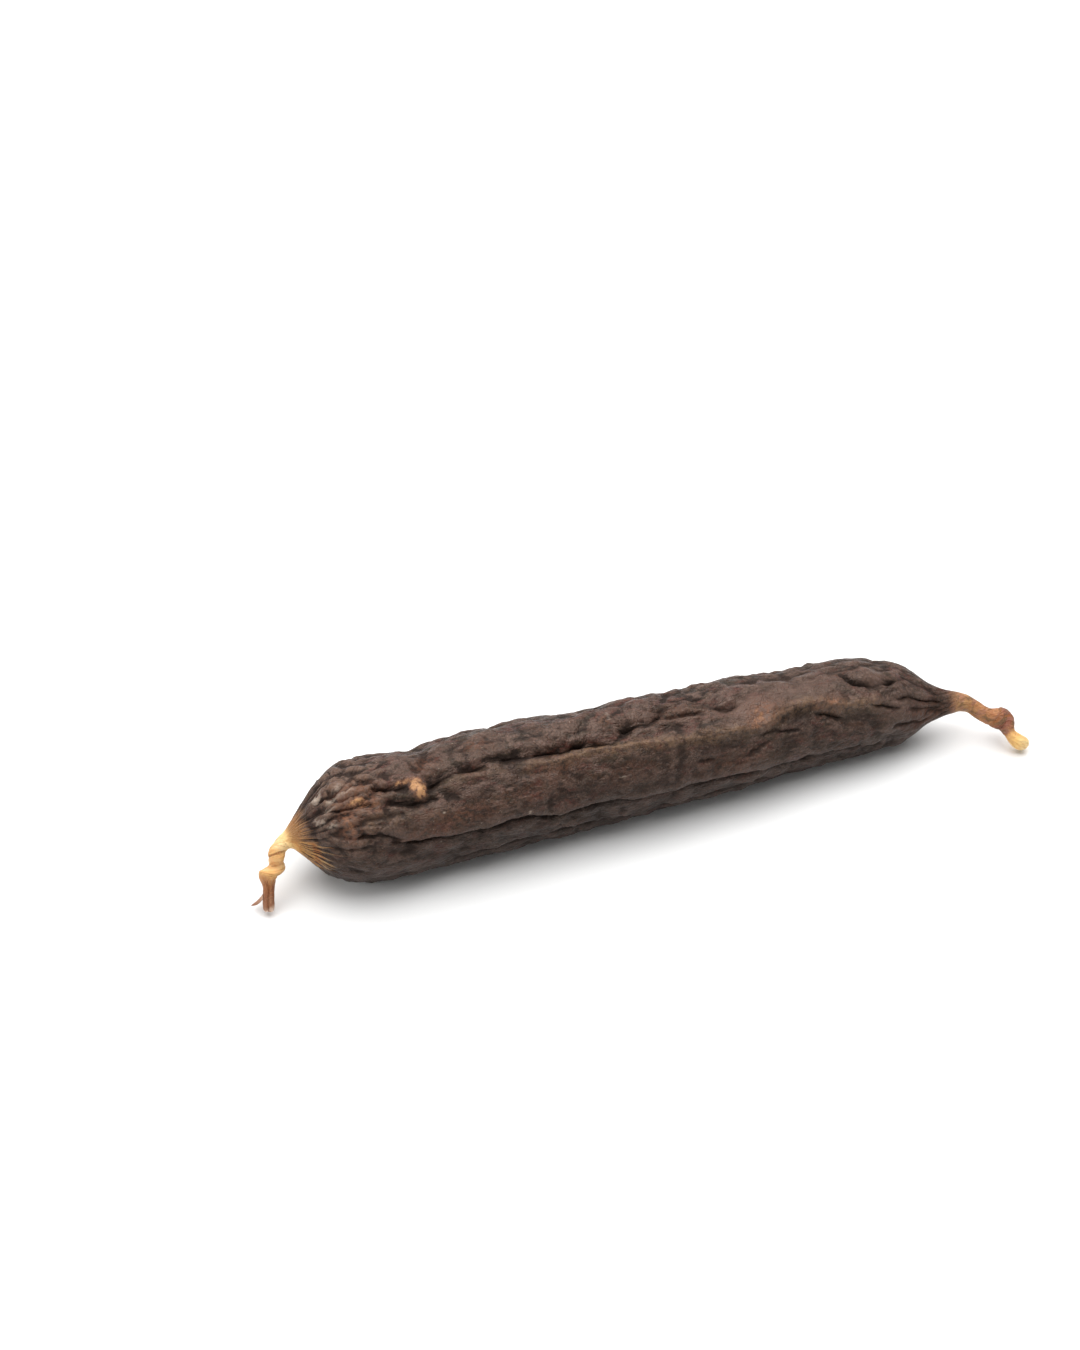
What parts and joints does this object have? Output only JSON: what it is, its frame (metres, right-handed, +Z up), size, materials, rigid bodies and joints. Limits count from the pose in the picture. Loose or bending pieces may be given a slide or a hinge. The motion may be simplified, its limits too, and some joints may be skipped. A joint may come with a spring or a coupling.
{
  "type": "cured sausage",
  "caption": "Short dry-cured sausage in a dark furrowed natural casing, pinched at each end into a short twisted tail of bare gut.",
  "frame": {"origin": "on the flat strip the sausage rests on, under the middle of its length", "axes": "+X along the sausage towards its thinner end, -Y towards the side with the long seam-like crease, +Z up"},
  "size_m": [0.1642, 0.0263, 0.0243],
  "materials": {
    "casing": "dry dark brown natural casing with a dull satin sheen, furrowed, paler amber where it is bare gut at the tails"
  },
  "bodies": {
    "root": {"sausage": "casing"}
  },
  "joints": []
}
